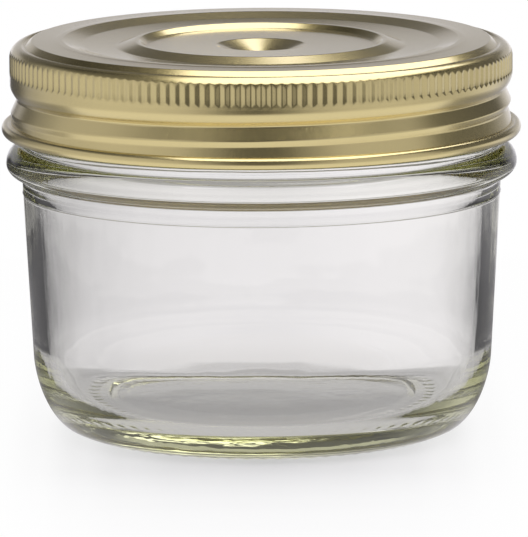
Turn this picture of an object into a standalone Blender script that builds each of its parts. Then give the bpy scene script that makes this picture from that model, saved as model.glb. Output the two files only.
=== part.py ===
# Glass canning jar with its sealing capsule, sealing compound and screw cap.
# Lengths are in metres, the jar's axis is +Z and the origin is the middle of the base.

import math

import bmesh
import bpy
from mathutils import Vector
from mathutils.geometry import interpolate_bezier

MM = 0.001

# Clearances: pieces that touch on the real jar, the threads, and the curl over the bead
CONTACT_GAP = 0.3 * MM
THREAD_CLEARANCE = 0.55 * MM
THREAD_SIDE_CLEARANCE = 0.9 * MM
CURL_CLEARANCE = 2.5 * MM
COUNTERSINK_CLEARANCE = 1.8 * MM

# Glass body, heights from the base
JAR_HEIGHT = 82.6 * MM
BODY_TOP_RADIUS = 51.5 * MM
BODY_TAPER = 2.06 * MM
BODY_WALL = 3.4 * MM
HEEL_HEIGHT = 16.8 * MM
HEEL_INSET = 11.8 * MM
HEEL_WALL_HANDLE = 5.65 * MM
HEEL_BASE_HANDLE = 8.05 * MM
BEARING_WIDTH = 2.0 * MM
BASE_PUSH_UP = 1.7 * MM
BASE_BLEND = 3.5 * MM
BASE_BLEND_SHARE = 0.6
FLOOR_THICKNESS = 5.1 * MM
FLOOR_CORNER_WIDTH = 8.0 * MM
FLOOR_CORNER_HEIGHT = 14.0 * MM

# Round bead under the neck, and the thin fill line below it
BEAD_PROUD = 3.5 * MM
BEAD_HEIGHT = 6.4 * MM
BEAD_CROWN = 3.6 * MM
BEAD_LEDGE = 0.6 * MM
BEAD_CORNER = 0.6 * MM
FILL_LINE_DROP = 3.9 * MM
FILL_LINE_PROUD = 0.25 * MM
FILL_LINE_WIDTH = 0.8 * MM
FILL_LINE_CREST = 0.3 * MM

# Finish: the threaded neck and the rim that seals
NECK_STEP = 0.1 * MM
FINISH_WALL = 5.2 * MM
RIM_FLAT = 1.4 * MM
RIM_INNER_ROUND = 0.5 * MM
RIM_OUTER_ROUND = 1.4 * MM
RIM_SHOULDER_DROP = 1.2 * MM
MOUTH_BLEND_RISE = 7.0 * MM
MOUTH_BLEND = 8.0 * MM

# Thread of the neck and the cap: right hand, one start, six turns to the inch
THREAD_PITCH = 25.4 / 6.0 * MM
GLASS_THREAD_START = -400.0
GLASS_THREAD_END = 150.0
GLASS_THREAD_FADE = 35.0
GLASS_THREAD_TIP = 0.45
CAP_GROOVE_DEPTH = 1.75 * MM
CAP_GROOVE_LAND = 0.43 * MM
CAP_GROOVE_DROP = 4.0 * MM
CAP_GROOVE_START = -540.0
CAP_GROOVE_END = 75.0
CAP_GROOVE_FADE = 60.0

# Sealing compound in the capsule's channel
COMPOUND_THICKNESS = 0.9 * MM
COMPOUND_WIDTH = 2.0 * MM
COMPOUND_ROUND = 0.3 * MM

# Sealing capsule, pressed from tinplate
CAPSULE_SHEET = 0.3 * MM
CAPSULE_LIP_DEPTH = 0.8 * MM
CAPSULE_SLOPE = 0.8 * MM
CAPSULE_BEND = 0.6 * MM

# Screw cap skirt, pressed from tinplate, with its knurled band and curled edge
CAP_SHEET = 0.3 * MM
CAP_SKIRT_HEIGHT = 18.8 * MM
CURL_REACH = 2.15 * MM
CURL_HEIGHT = 2.6 * MM
CURL_NECK = 0.9 * MM
KNURL_PROUD = 0.1 * MM
KNURL_DEPTH = 0.4 * MM
KNURL_HEIGHT = 5.0 * MM
KNURL_TOP_DROP = 2.3 * MM
KNURL_TIP = 0.8 * MM
KNURL_EDGE = 0.3 * MM
KNURL_COUNT = 156

# Screw cap panel: widths of its pressed rings, and their heights against its flat annulus
ROLL_INSET = 1.85 * MM
ROLL_DROP = 0.55 * MM
ROLL_EDGE_INSET = 0.6 * MM
ROLL_EDGE_DROP = 1.05 * MM
VALLEY_OFFSET = 1.4 * MM
VALLEY_WIDTH = 0.7 * MM
VALLEY_DROP = 1.0 * MM
ANNULUS_WIDTH = 4.9 * MM
RIDGE_OUTER_SLOPE = 2.4 * MM
RIDGE_CREST_WIDTH = 1.3 * MM
RIDGE_INNER_SLOPE = 1.3 * MM
RIDGE_RISE = 0.35 * MM
BAND_DROP = 0.4 * MM
RING_OUTER_SLOPE = 2.9 * MM
RING_CREST_WIDTH = 1.2 * MM
RING_INNER_SLOPE = 1.5 * MM
RING_RISE = 0.1 * MM
PANEL_RADIUS = 24.8 * MM
PANEL_DROP = 1.4 * MM
DIMPLE_LIP_RADIUS = 10.0 * MM
DIMPLE_LIP_WIDTH = 3.5 * MM
DIMPLE_LIP_DROP = 0.7 * MM
DIMPLE_WALL_WIDTH = 3.1 * MM
DIMPLE_DEPTH = 2.1 * MM

# Facets round the turned pieces and along their curves; three flutes lie on each facet
JAR_SIDES = 64
CAP_SIDES = KNURL_COUNT // 3
GROOVE_ROWS = 15
THREAD_POINTS_PER_TURN = 36

MERGE_DISTANCE = 0.01 * MM
ANGLE_SLACK = 0.001
SHARP_ANGLE = math.radians(42.0)
FRONT = -90.0

# Heights that follow from the stack of pieces on the rim
COMPOUND_BOTTOM = JAR_HEIGHT + CONTACT_GAP
COMPOUND_TOP = COMPOUND_BOTTOM + COMPOUND_THICKNESS
CAPSULE_BOTTOM = COMPOUND_TOP + CONTACT_GAP
CAPSULE_TOP = CAPSULE_BOTTOM + CAPSULE_SHEET
ANNULUS_HEIGHT = CAPSULE_TOP + CONTACT_GAP + CAP_SHEET
DIMPLE_HEIGHT = ANNULUS_HEIGHT - PANEL_DROP - DIMPLE_DEPTH
CAPSULE_PANEL_TOP = DIMPLE_HEIGHT - CAP_SHEET - CONTACT_GAP
KNURL_TOP = ANNULUS_HEIGHT - KNURL_TOP_DROP
KNURL_BOTTOM = KNURL_TOP - KNURL_HEIGHT
CURL_MIDDLE = ANNULUS_HEIGHT - CAP_SKIRT_HEIGHT
CAP_GROOVE_HEIGHT = KNURL_BOTTOM - CAP_GROOVE_DROP
GLASS_THREAD_HEIGHT = CAP_GROOVE_HEIGHT + THREAD_PITCH / 2
BEAD_TOP = CURL_MIDDLE - CURL_HEIGHT / 2 - CURL_CLEARANCE
BODY_TOP = BEAD_TOP - BEAD_HEIGHT
FILL_LINE = BODY_TOP - FILL_LINE_DROP

# Radii that follow from the glass body
BODY_FOOT_RADIUS = BODY_TOP_RADIUS - BODY_TAPER
BEARING_RADIUS = BODY_FOOT_RADIUS - HEEL_INSET
BEAD_RADIUS = BODY_TOP_RADIUS + BEAD_PROUD
FINISH_RADIUS = BODY_TOP_RADIUS + NECK_STEP
MOUTH_RADIUS = FINISH_RADIUS - FINISH_WALL
RIM_INNER_EDGE = MOUTH_RADIUS + RIM_INNER_ROUND
RIM_OUTER_EDGE = RIM_INNER_EDGE + RIM_FLAT
RIM_MIDDLE = (RIM_INNER_EDGE + RIM_OUTER_EDGE) / 2

# Radii of the lid pieces that follow from the rim and the neck
COMPOUND_OUTER_RADIUS = RIM_MIDDLE + COMPOUND_WIDTH / 2
CAPSULE_RADIUS = COMPOUND_OUTER_RADIUS + CONTACT_GAP + CAPSULE_SHEET
CAPSULE_SINK_RADIUS = MOUTH_RADIUS - COUNTERSINK_CLEARANCE
SKIRT_INNER_RADIUS = FINISH_RADIUS + THREAD_CLEARANCE + CAP_GROOVE_DEPTH
SKIRT_RADIUS = SKIRT_INNER_RADIUS + CAP_SHEET
KNURL_RADIUS = SKIRT_RADIUS + KNURL_PROUD
KNURL_INNER_RADIUS = KNURL_RADIUS - KNURL_DEPTH - CAP_SHEET
GLASS_THREAD_CREST = KNURL_INNER_RADIUS - THREAD_CLEARANCE
GLASS_THREAD_RADIUS = THREAD_PITCH / 2 - THREAD_SIDE_CLEARANCE
CAP_GROOVE_WIDTH = THREAD_PITCH - CAP_GROOVE_LAND
ROLL_RADIUS = KNURL_RADIUS - ROLL_INSET
ANNULUS_OUTER_RADIUS = CAPSULE_RADIUS + CONTACT_GAP
ANNULUS_INNER_RADIUS = ANNULUS_OUTER_RADIUS - ANNULUS_WIDTH
VALLEY_RADIUS = ANNULUS_OUTER_RADIUS + VALLEY_OFFSET


def collection(name):
    """A new collection in the scene."""
    made = bpy.data.collections.new(name)
    bpy.context.scene.collection.children.link(made)
    return made


def material(name, colour, roughness, metallic, transmission=0.0):
    """A Principled material."""
    made = bpy.data.materials.new(name)
    made.use_nodes = True
    shader = made.node_tree.nodes["Principled BSDF"]
    shader.inputs["Base Color"].default_value = (*colour, 1.0)
    shader.inputs["Roughness"].default_value = roughness
    shader.inputs["Metallic"].default_value = metallic
    shader.inputs["Transmission Weight"].default_value = transmission
    return made


def arc(middle, reach, start, end, steps):
    """Points (radius, height) along a round or oval arc, angles in degrees."""
    points = []
    for step in range(steps + 1):
        angle = math.radians(start + (end - start) * step / steps)
        points.append((middle[0] + reach[0] * math.cos(angle),
                       middle[1] + reach[1] * math.sin(angle)))
    return points


def rounded(corners, steps=2):
    """A profile from corners (radius, height, rounding), with each corner rounded by an arc."""
    points = []
    for index, (radius, height, rounding) in enumerate(corners):
        here = Vector((radius, height))
        if rounding <= 0.0 or index in (0, len(corners) - 1):
            points.append((radius, height))
            continue
        back = Vector(corners[index - 1][:2]) - here
        ahead = Vector(corners[index + 1][:2]) - here
        half_turn = back.angle(ahead) / 2
        setback = min(rounding / math.tan(half_turn), back.length * 0.48, ahead.length * 0.48)
        first = here + back.normalized() * setback
        last = here + ahead.normalized() * setback
        for step in range(steps + 1):
            share = step / steps
            point = first.lerp(here, share).lerp(here.lerp(last, share), share)
            points.append((point.x, point.y))
    return points


def turned(name, profile, sides, closed=False):
    """A lathe object from a profile of (radius, height) points that runs down its outer side."""
    vertices = [(radius, 0.0, height) for radius, height in profile]
    edges = [(index, index + 1) for index in range(len(vertices) - 1)]
    if closed:
        edges.append((len(vertices) - 1, 0))
    mesh = bpy.data.meshes.new(name)
    mesh.from_pydata(vertices, edges, [])
    made = bpy.data.objects.new(name, mesh)
    parts.objects.link(made)
    screw = made.modifiers.new("turn", "SCREW")
    screw.steps = sides
    screw.render_steps = sides
    screw.use_merge_vertices = True
    screw.merge_threshold = MERGE_DISTANCE
    screw.use_smooth_shade = True
    return made


def applied(made):
    """The object with its modifiers made part of its mesh."""
    bpy.context.view_layer.update()
    graph = bpy.context.evaluated_depsgraph_get()
    mesh = bpy.data.meshes.new_from_object(made.evaluated_get(graph))
    made.modifiers.clear()
    made.data = mesh
    return made


def finished(made, surface):
    """Smooth shading with sharp edges kept, and the piece's material."""
    made.data.shade_smooth()
    made.data.set_sharp_from_angle(angle=SHARP_ANGLE)
    made.data.materials.clear()
    made.data.materials.append(surface)
    return made


def fade(turn, start, end, length):
    """How deep a thread is at an angle along it, from 0 at its ends to 1."""
    share = min((turn - start) / length, (end - turn) / length, 1.0)
    if share <= 0.0:
        return 0.0
    return share * share * (3.0 - 2.0 * share)


def helix_height(front_height, turn):
    """Height of a thread's middle at an angle along it, degrees from +X."""
    return front_height + THREAD_PITCH * (turn - FRONT) / 360.0


def body_radius(height):
    """Outer radius of the tapered glass wall at a height."""
    share = (height - HEEL_HEIGHT) / (BODY_TOP - HEEL_HEIGHT)
    return BODY_FOOT_RADIUS + BODY_TAPER * share


def heel_points(steps):
    """The rounded heel from the foot of the wall down to the bearing ring, on a Bezier curve."""
    wall_foot = Vector((BODY_FOOT_RADIUS, HEEL_HEIGHT))
    wall_down = Vector((-BODY_TAPER, HEEL_HEIGHT - BODY_TOP)).normalized()
    wall_handle = wall_foot + wall_down * HEEL_WALL_HANDLE
    bearing = Vector((BEARING_RADIUS, 0.0))
    bearing_handle = bearing + Vector((HEEL_BASE_HANDLE, 0.0))
    curve = interpolate_bezier(wall_foot, wall_handle, bearing_handle, bearing, steps + 1)
    return [(point.x, point.y) for point in curve]


def jar_profile():
    """The jar's section: out over the floor, up the inside, over the rim, down the outside."""
    floor_height = BASE_PUSH_UP + FLOOR_THICKNESS
    inner_foot = body_radius(floor_height + FLOOR_CORNER_HEIGHT) - BODY_WALL
    profile = [(0.0, floor_height)]
    profile += arc((inner_foot - FLOOR_CORNER_WIDTH, floor_height + FLOOR_CORNER_HEIGHT),
                   (FLOOR_CORNER_WIDTH, FLOOR_CORNER_HEIGHT), -90.0, 0.0, 5)
    blend_foot = BODY_TOP + MOUTH_BLEND_RISE
    profile += [(BODY_TOP_RADIUS - BODY_WALL, blend_foot),
                (MOUTH_RADIUS, blend_foot + MOUTH_BLEND),
                (MOUTH_RADIUS, JAR_HEIGHT - RIM_INNER_ROUND),
                (RIM_INNER_EDGE, JAR_HEIGHT)]
    profile += arc((RIM_OUTER_EDGE, JAR_HEIGHT - RIM_OUTER_ROUND),
                   (RIM_OUTER_ROUND, RIM_OUTER_ROUND), 90.0, 0.0, 3)
    profile += [(FINISH_RADIUS, JAR_HEIGHT - RIM_OUTER_ROUND - RIM_SHOULDER_DROP),
                (FINISH_RADIUS, BEAD_TOP + BEAD_CORNER)]
    ledge_radius = FINISH_RADIUS + BEAD_LEDGE
    bead_middle = BEAD_TOP - BEAD_CROWN
    profile += arc((ledge_radius, bead_middle),
                   (BEAD_RADIUS - ledge_radius, BEAD_CROWN), 90.0, 0.0, 4)
    profile += arc((BODY_TOP_RADIUS, bead_middle),
                   (BEAD_PROUD, bead_middle - BODY_TOP), 0.0, -90.0, 4)[1:]
    for lift, proud in ((FILL_LINE_WIDTH, 0.0), (FILL_LINE_CREST, FILL_LINE_PROUD),
                        (-FILL_LINE_CREST, FILL_LINE_PROUD), (-FILL_LINE_WIDTH, 0.0)):
        height = FILL_LINE + lift / 2
        profile.append((body_radius(height) + proud, height))
    profile += heel_points(6)
    bearing_inner = BEARING_RADIUS - BEARING_WIDTH
    profile += [(bearing_inner, 0.0),
                (bearing_inner - BASE_BLEND, BASE_PUSH_UP * BASE_BLEND_SHARE),
                (0.0, BASE_PUSH_UP)]
    return profile


def glass_thread():
    """The raised thread of the neck, a helical tube half sunk in the wall."""
    count = round((GLASS_THREAD_END - GLASS_THREAD_START) / 360.0 * THREAD_POINTS_PER_TURN)
    line = bpy.data.curves.new("glass_thread", "CURVE")
    line.dimensions = "3D"
    line.bevel_depth = GLASS_THREAD_RADIUS
    line.bevel_resolution = 2
    line.use_fill_caps = True
    line.twist_mode = "Z_UP"
    path = line.splines.new("POLY")
    path.points.add(count)
    for index in range(count + 1):
        turn = GLASS_THREAD_START + (GLASS_THREAD_END - GLASS_THREAD_START) * index / count
        depth = fade(turn, GLASS_THREAD_START, GLASS_THREAD_END, GLASS_THREAD_FADE)
        size = GLASS_THREAD_TIP + (1.0 - GLASS_THREAD_TIP) * depth
        middle = GLASS_THREAD_CREST - GLASS_THREAD_RADIUS * (2.0 - depth)
        angle = math.radians(turn)
        height = helix_height(GLASS_THREAD_HEIGHT, turn)
        path.points[index].co = (middle * math.cos(angle), middle * math.sin(angle), height, 1.0)
        path.points[index].radius = size
    made = bpy.data.objects.new("glass_thread", line)
    cutters.objects.link(made)
    return made


def mesh_of_curve(curve, name):
    """A closed mesh object that takes a curve object's place."""
    bpy.context.view_layer.update()
    graph = bpy.context.evaluated_depsgraph_get()
    mesh = bpy.data.meshes.new_from_object(curve.evaluated_get(graph))
    shape = bmesh.new()
    shape.from_mesh(mesh)
    bmesh.ops.remove_doubles(shape, verts=shape.verts, dist=MERGE_DISTANCE)
    bmesh.ops.recalc_face_normals(shape, faces=shape.faces)
    shape.to_mesh(mesh)
    shape.free()
    made = bpy.data.objects.new(name, mesh)
    made.matrix_world = curve.matrix_world
    cutters.objects.link(made)
    bpy.data.objects.remove(curve)
    made.hide_render = True
    made.display_type = "WIRE"
    return made


def joined(made, added):
    """The object with another one joined to it."""
    union = made.modifiers.new("join", "BOOLEAN")
    union.operation = "UNION"
    union.solver = "EXACT"
    union.object = added
    return applied(made)


def build_jar():
    """The glass jar, in one piece with its thread."""
    jar = applied(turned("jar", jar_profile(), JAR_SIDES))
    thread = mesh_of_curve(glass_thread(), "thread_cutter")
    joined(jar, thread)
    return finished(jar, material("clear_glass", (0.93, 0.95, 0.94), 0.03, 0.0, 1.0))


def build_compound():
    """The ring of sealing compound between the rim and the capsule."""
    half_width = COMPOUND_WIDTH / 2
    half_height = COMPOUND_THICKNESS / 2
    profile = []
    for out, up in ((1, 1), (1, -1), (-1, -1), (-1, 1)):
        side = (RIM_MIDDLE + out * half_width,
                COMPOUND_BOTTOM + half_height + up * (half_height - COMPOUND_ROUND))
        face = (RIM_MIDDLE + out * (half_width - COMPOUND_ROUND),
                COMPOUND_BOTTOM + half_height + up * half_height)
        profile += [face, side] if out == up else [side, face]
    ring = applied(turned("sealing_compound", profile, CAP_SIDES, closed=True))
    return finished(ring, material("grey_compound", (0.55, 0.53, 0.50), 0.6, 0.0))


def build_capsule():
    """The sealing capsule: a channel over the rim and a panel sunk into the mouth."""
    sink_foot = CAPSULE_SINK_RADIUS - CAPSULE_SLOPE
    panel_bottom = CAPSULE_PANEL_TOP - CAPSULE_SHEET
    lip_bottom = CAPSULE_BOTTOM - CAPSULE_LIP_DEPTH
    outer_bend = CAPSULE_BEND + CAPSULE_SHEET
    top_side = rounded([(0.0, CAPSULE_PANEL_TOP, 0.0),
                        (sink_foot - CAPSULE_SHEET, CAPSULE_PANEL_TOP, CAPSULE_BEND),
                        (CAPSULE_SINK_RADIUS - CAPSULE_SHEET, CAPSULE_TOP, outer_bend),
                        (CAPSULE_RADIUS, CAPSULE_TOP, CAPSULE_SHEET),
                        (CAPSULE_RADIUS, lip_bottom, 0.0)])
    under_side = rounded([(CAPSULE_RADIUS - CAPSULE_SHEET, lip_bottom, 0.0),
                          (CAPSULE_RADIUS - CAPSULE_SHEET, CAPSULE_BOTTOM, 0.0),
                          (CAPSULE_SINK_RADIUS, CAPSULE_BOTTOM, CAPSULE_BEND),
                          (sink_foot, panel_bottom, outer_bend),
                          (0.0, panel_bottom, 0.0)])
    capsule = applied(turned("sealing_capsule", top_side + under_side, CAP_SIDES))
    return finished(capsule, material("capsule_tinplate", (0.62, 0.50, 0.24), 0.3, 1.0))


def panel_points(drop):
    """The cap's pressed rings from the middle out to the annulus, lowered by a drop."""
    level = ANNULUS_HEIGHT - drop
    panel = level - PANEL_DROP
    ring = level + RING_RISE
    band = level - BAND_DROP
    ridge = level + RIDGE_RISE
    dimple_core = DIMPLE_LIP_RADIUS - DIMPLE_LIP_WIDTH
    ring_crest = PANEL_RADIUS + RING_INNER_SLOPE
    ridge_crest = ANNULUS_INNER_RADIUS - RIDGE_OUTER_SLOPE - RIDGE_CREST_WIDTH
    return [(0.0, panel - DIMPLE_DEPTH), (dimple_core - DIMPLE_WALL_WIDTH, panel - DIMPLE_DEPTH),
            (dimple_core, panel - DIMPLE_LIP_DROP),
            (dimple_core + DIMPLE_LIP_WIDTH / 2, panel - DIMPLE_LIP_DROP / 4),
            (DIMPLE_LIP_RADIUS, panel), (PANEL_RADIUS, panel),
            (ring_crest, ring), (ring_crest + RING_CREST_WIDTH, ring),
            (ring_crest + RING_CREST_WIDTH + RING_OUTER_SLOPE, band),
            (ridge_crest - RIDGE_INNER_SLOPE, band),
            (ridge_crest, ridge), (ridge_crest + RIDGE_CREST_WIDTH, ridge),
            (ANNULUS_INNER_RADIUS, level)]


def skirt_heights():
    """The rows of the skirt between the knurl and the curl, top to bottom."""
    bottom = CURL_MIDDLE + CURL_NECK
    return [KNURL_BOTTOM + (bottom - KNURL_BOTTOM) * row / GROOVE_ROWS
            for row in range(GROOVE_ROWS + 1)]


def cap_profile():
    """The cap's section: over the panel, down the skirt, round the curl and up the inside."""
    valley = ANNULUS_HEIGHT - VALLEY_DROP
    roll = ANNULUS_HEIGHT - ROLL_DROP
    half_valley = VALLEY_WIDTH / 2
    outside = panel_points(0.0)
    outside += [(ANNULUS_OUTER_RADIUS, ANNULUS_HEIGHT), (VALLEY_RADIUS - half_valley, valley),
                (VALLEY_RADIUS + half_valley, valley), (ROLL_RADIUS, roll),
                (KNURL_RADIUS - ROLL_EDGE_INSET, ANNULUS_HEIGHT - ROLL_EDGE_DROP),
                (KNURL_RADIUS, KNURL_TOP), (KNURL_RADIUS, KNURL_BOTTOM)]
    outside += [(SKIRT_RADIUS, height) for height in skirt_heights()[1:]]
    curl = arc((SKIRT_INNER_RADIUS + CURL_REACH / 2, CURL_MIDDLE),
               (CURL_REACH / 2, CURL_HEIGHT / 2), 120.0, -180.0, 7)
    inside = [(SKIRT_INNER_RADIUS, height) for height in reversed(skirt_heights())]
    inside += [(KNURL_INNER_RADIUS, KNURL_BOTTOM + KNURL_TIP), (KNURL_INNER_RADIUS, KNURL_TOP),
               (ROLL_RADIUS, roll - CAP_SHEET),
               (VALLEY_RADIUS + half_valley, valley - CAP_SHEET),
               (VALLEY_RADIUS - half_valley - CAP_SHEET / 2, valley - CAP_SHEET),
               (ANNULUS_OUTER_RADIUS - CAP_SHEET / 2, ANNULUS_HEIGHT - CAP_SHEET)]
    inside += reversed(panel_points(CAP_SHEET))
    return outside + curl + inside


def groove_depth(angle, height):
    """How far the skirt is pressed in at an angle and height: the helical groove."""
    depth = 0.0
    for lap in (-2, -1, 0, 1):
        turn = angle + 360.0 * lap
        strength = fade(turn, CAP_GROOVE_START, CAP_GROOVE_END, CAP_GROOVE_FADE)
        off = height - helix_height(CAP_GROOVE_HEIGHT, turn)
        if strength > 0.0 and abs(off) < CAP_GROOVE_WIDTH / 2:
            wave = math.cos(math.pi * off / CAP_GROOVE_WIDTH)
            depth = max(depth, CAP_GROOVE_DEPTH * strength * wave * wave)
    return depth


def press_groove(shape):
    """Moves the skirt's rows inwards along the helical groove."""
    bottom = CURL_MIDDLE + CURL_NECK - MERGE_DISTANCE
    for vertex in shape.verts:
        radius = math.hypot(vertex.co.x, vertex.co.y)
        if bottom < vertex.co.z < KNURL_BOTTOM and radius < SKIRT_RADIUS + MERGE_DISTANCE:
            angle = math.degrees(math.atan2(vertex.co.y, vertex.co.x))
            scale = (radius - groove_depth(angle, vertex.co.z)) / radius
            vertex.co.x *= scale
            vertex.co.y *= scale


def loop_at(shape, radius, height):
    """The ring of vertices at a radius and height, in order round the axis."""
    found = []
    for vertex in shape.verts:
        near_height = abs(vertex.co.z - height) < MERGE_DISTANCE
        near_radius = abs(math.hypot(vertex.co.x, vertex.co.y) - radius) < MERGE_DISTANCE
        if near_height and near_radius:
            found.append(vertex)
    return sorted(found, key=angle_of)


def angle_of(vertex):
    """A vertex's angle round the axis, from 0 to a full turn, with 0 itself kept first."""
    return (math.atan2(vertex.co.y, vertex.co.x) + ANGLE_SLACK) % (2 * math.pi)


def zip_rings(shape, upper, lower):
    """Faces between two rings of unlike counts, both in order round the axis."""
    up = 0
    low = 0
    while up < len(upper) or low < len(lower):
        here_up = upper[up % len(upper)]
        here_low = lower[low % len(lower)]
        if (up + 1) / len(upper) <= (low + 1) / len(lower):
            shape.faces.new((here_up, here_low, upper[(up + 1) % len(upper)]))
            up += 1
        else:
            shape.faces.new((here_up, here_low, lower[(low + 1) % len(lower)]))
            low += 1


def cut_knurl(shape):
    """Replaces the plain band under the shoulder by flutes with pointed lower ends."""
    upper = loop_at(shape, KNURL_RADIUS, KNURL_TOP)
    lower = loop_at(shape, KNURL_RADIUS, KNURL_BOTTOM)
    band = set(upper) | set(lower)
    plain = [face for face in shape.faces if all(vertex in band for vertex in face.verts)]
    bmesh.ops.delete(shape, geom=plain, context="FACES_ONLY")
    columns = KNURL_COUNT * 2
    rings = [upper]
    for height, depth in ((KNURL_TOP - KNURL_EDGE, KNURL_DEPTH),
                          (KNURL_BOTTOM + KNURL_EDGE + KNURL_TIP, KNURL_DEPTH),
                          (KNURL_BOTTOM + KNURL_EDGE, 0.0)):
        ring = []
        for column in range(columns):
            radius = KNURL_RADIUS - depth * (column % 2)
            angle = 2 * math.pi * column / columns
            place = (radius * math.cos(angle), radius * math.sin(angle), height)
            ring.append(shape.verts.new(place))
        rings.append(ring)
    rings.append(lower)
    for above, below in zip(rings, rings[1:]):
        zip_rings(shape, above, below)
    bmesh.ops.delete(shape, geom=[edge for edge in shape.edges if not edge.link_faces],
                     context="EDGES")


def build_cap():
    """The screw cap: panel, knurled skirt with its rolled-in thread, and curled edge."""
    cap = applied(turned("screw_cap", cap_profile(), CAP_SIDES))
    shape = bmesh.new()
    shape.from_mesh(cap.data)
    bmesh.ops.remove_doubles(shape, verts=shape.verts, dist=MERGE_DISTANCE)
    cut_knurl(shape)
    press_groove(shape)
    shape.to_mesh(cap.data)
    shape.free()
    return finished(cap, material("gold_lacquered_tinplate", (0.62, 0.50, 0.22), 0.28, 1.0))


for old in list(bpy.data.objects):
    bpy.data.objects.remove(old)

parts = collection("canning_jar")
cutters = collection("cutters")
build_jar()
build_compound()
build_capsule()
build_cap()
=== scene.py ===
"""A glass canning jar with its gold screw cap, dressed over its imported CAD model.

Laid out as an add-on: settings, one operator for each piece and for the stage, and a panel.
"""

import math

import bmesh
import bpy
from bpy.props import FloatProperty, FloatVectorProperty, IntProperty, PointerProperty
from mathutils import Matrix, Vector
from mathutils.geometry import interpolate_bezier


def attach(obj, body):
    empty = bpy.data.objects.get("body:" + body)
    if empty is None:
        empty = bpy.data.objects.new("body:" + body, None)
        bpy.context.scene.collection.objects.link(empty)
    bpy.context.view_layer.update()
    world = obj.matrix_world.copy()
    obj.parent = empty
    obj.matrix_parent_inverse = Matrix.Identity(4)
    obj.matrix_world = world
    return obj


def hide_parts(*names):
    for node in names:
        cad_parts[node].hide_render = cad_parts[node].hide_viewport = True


bl_info = {
    "name": "Canning jar",
    "version": (1, 0, 0),
    "blender": (4, 5, 0),
    "location": "View3D > Sidebar > Jar",
    "description": "Makes a glass canning jar with a sealing capsule and a gold screw cap",
    "category": "Object",
}

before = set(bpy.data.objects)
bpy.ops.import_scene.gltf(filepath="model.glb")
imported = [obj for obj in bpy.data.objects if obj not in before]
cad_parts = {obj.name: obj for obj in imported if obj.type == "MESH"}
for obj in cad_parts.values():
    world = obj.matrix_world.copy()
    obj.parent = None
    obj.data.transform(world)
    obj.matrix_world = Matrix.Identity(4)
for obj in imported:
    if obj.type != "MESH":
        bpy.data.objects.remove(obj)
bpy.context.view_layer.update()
MM = 0.001
TURN = 360.0  # degrees
FRONT = -90.0  # the direction of the camera, in degrees
TINY = 1e-7  # lengths under which points count as one, in metres
SAME_PLACE = 2e-6
FINEST_STEP = 0.02 * MM
PLAIN, THREADED, PATTERNED, RIPPLED = 0.0, 1.0, 2.0, 3.0  # marks: what is done to a ring
BAR_FACETS = 8  # round the base, for each of its bars
RIPPLE_SEED = 3.0
EVEN = (1.0, 1.0, 1.0)
LIGHT_BOUNCES = 32

# Studio light. Tables hold (place, level) stops, and an edge is its start and its width.
LIGHT_TINT = (0.975, 0.952, 1.0)
WHITE = 1.052  # the ground behind the jar, as the camera sees it

# what stands round the jar at its height, by degrees from the front
RING = ((-180, 1.0), (-169, 1.0), (-160, 0.1), (-143, 0.1), (-125, 0.45), (-108, 0.62),
        (-70, 0.72), (-50, 0.71), (-34, 0.66), (-24, 0.5), (-14, 0.25), (-5, 0.13), (3, 0.14),
        (12, 0.3), (22, 0.52), (36, 0.64), (60, 0.67), (85, 0.58), (98, 0.6), (115, 0.74),
        (128, 0.76), (140, 0.6), (150, 0.45), (160, 0.75), (170, 1.0), (180, 1.0))

# the walls over that: the back one by height, the side ones by direction and height
BACK_WALL = ((0.0, 0.60), (0.10, 0.56), (0.21, 0.52), (0.30, 0.12), (0.55, 0.10), (1.0, 0.10))
SIDE_WALL = ((-180, 0.12), (-143, 0.12), (-125, 0.34), (-108, 0.55), (-70, 0.65), (-40, 0.6),
             (-24, 0.35), (-10, 0.13), (10, 0.13), (22, 0.35), (40, 0.6), (75, 0.6), (95, 0.15),
             (150, 0.1), (180, 0.12))
SIDE_FADE = ((0.0, 1.0), (0.45, 1.0), (0.65, 0.25), (1.0, 0.15))
BACK_EDGE = (24.0, 14.0)
WALL_FOOT = (-0.03, 0.12)
SEEN_THROUGH = ((0.0, 0.0), (0.45, 0.0), (0.6, 0.85), (1.0, 0.92))  # by glass, left to right

# the soft box overhead: its sides are slopes from the jar, and the left one slants
BOX_LEFT = (0.38, -0.45, 0.12)  # slant, place at the middle, width
BOX_SIDES = ((-0.95, 0.15), (-0.9, 0.2), (-1.25, 0.15))  # right, front and back
BOX_FOOT = 0.06

# the table: painted white glow over its real shadow beside and ahead of the jar, and the painted
# shadow, shade and reflections that glass and gold show of it
NEAR_SPAN = 0.2  # metres that a table of levels reaches over
TABLE_SPAN = 0.5
# share of painted white glow over the real shadow, beside and ahead of the jar
GLOW_OVER_SHADOW_BESIDE = ((0.0, 0.0), (0.085, 0.1), (0.15, 0.3), (0.195, 0.55), (0.24, 0.83),
                 (0.28, 0.95), (0.4, 1.0))
GLOW_OVER_SHADOW_AHEAD = ((0.0, 0.52), (0.25, 0.52), (0.31, 0.62), (0.365, 0.71), (0.425, 0.785),
                (0.535, 0.87), (0.75, 1.0))
SHADOW_EDGE = (0.10, 0.15)
# the table's glow for rays through the glass: a painted shadow under the jar, painted shade to its
# left, and painted dark bands after a turn inside the glass
PAINTED_SHADOW_UNDER_JAR = ((0.0, 0.48), (0.22, 0.50), (0.27, 0.60), (0.31, 0.92), (0.5, 1.0), (1.0, 1.0))
PAINTED_SHADE_ACROSS_TABLE = ((0.0, 0.50), (0.28, 0.62), (0.5, 0.92), (0.62, 1.0), (1.0, 1.0))
PAINTED_SHADE_TURNED_BACK = ((0.0, 0.5), (0.08, 0.55), (0.14, 0.7), (0.2, 0.45), (0.26, 0.05), (0.74, 0.03),
               (0.83, 0.85), (1.0, 0.85))
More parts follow.
